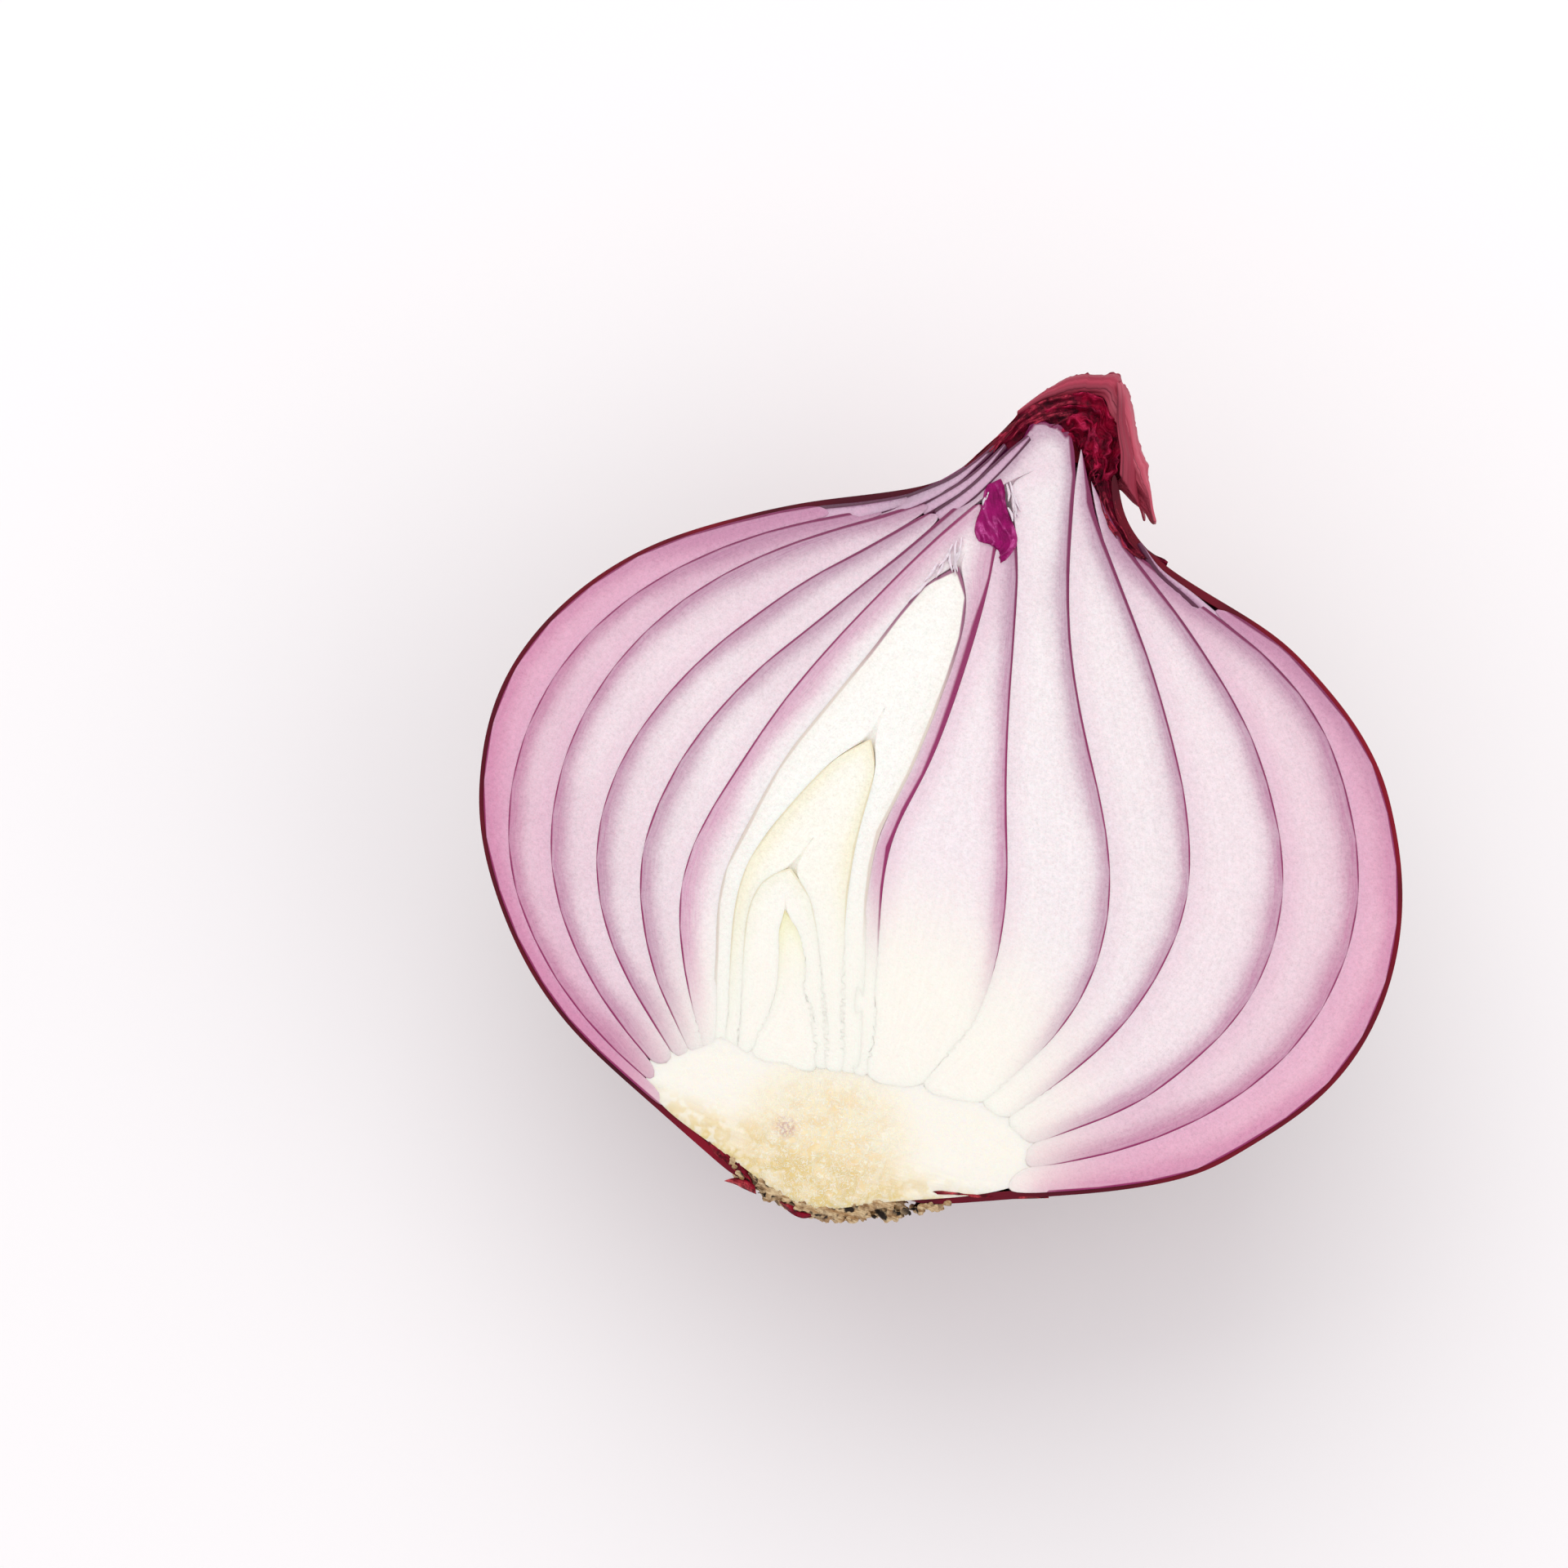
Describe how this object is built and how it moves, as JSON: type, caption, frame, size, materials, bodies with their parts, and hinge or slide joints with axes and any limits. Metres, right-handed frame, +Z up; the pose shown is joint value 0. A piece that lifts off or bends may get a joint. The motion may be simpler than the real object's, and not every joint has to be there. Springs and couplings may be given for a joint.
{
  "type": "halved red onion",
  "caption": "Red onion cut lengthwise through root and neck, lying on its rounded back with the layered cut face up.",
  "frame": {"origin": "centre of the small flat spot that the rounded back rests on, under the centre of mass", "axes": "+Z up, square to the cut face; +Y along the bulb from the root to the neck; +X to the right of the cut face seen from above with the neck away"},
  "size_m": [0.0822, 0.0798, 0.0417],
  "materials": {
    "skin": "glossy dry papery skin, dark crimson with lengthwise veins",
    "flesh": "moist translucent white flesh with a purple rim on each scale",
    "core": "moist cream white flesh, yellow at the sprout",
    "plate": "moist tan fibrous stem tissue, white round its edge",
    "root": "dry ragged brown crust and root stubs",
    "dry_neck": "dry crumpled dark crimson skin",
    "hood": "dry matt dusty pink red skin with fine veins"
  },
  "bodies": {
    "root": {"basal_plate": "plate", "core_leaf_1": "core", "core_leaf_2": "core", "core_leaf_3": "core", "fleshy_scale_1": "flesh", "fleshy_scale_2": "flesh", "fleshy_scale_3": "flesh", "fleshy_scale_4": "flesh", "fleshy_scale_5": "flesh", "inner_sheath": "flesh", "neck_folds": "dry_neck", "neck_hood": "hood", "neck_sheath": "dry_neck", "outer_skin": "skin", "root_crust": "root", "side_scale": "flesh", "sprout": "core"}
  },
  "joints": []
}
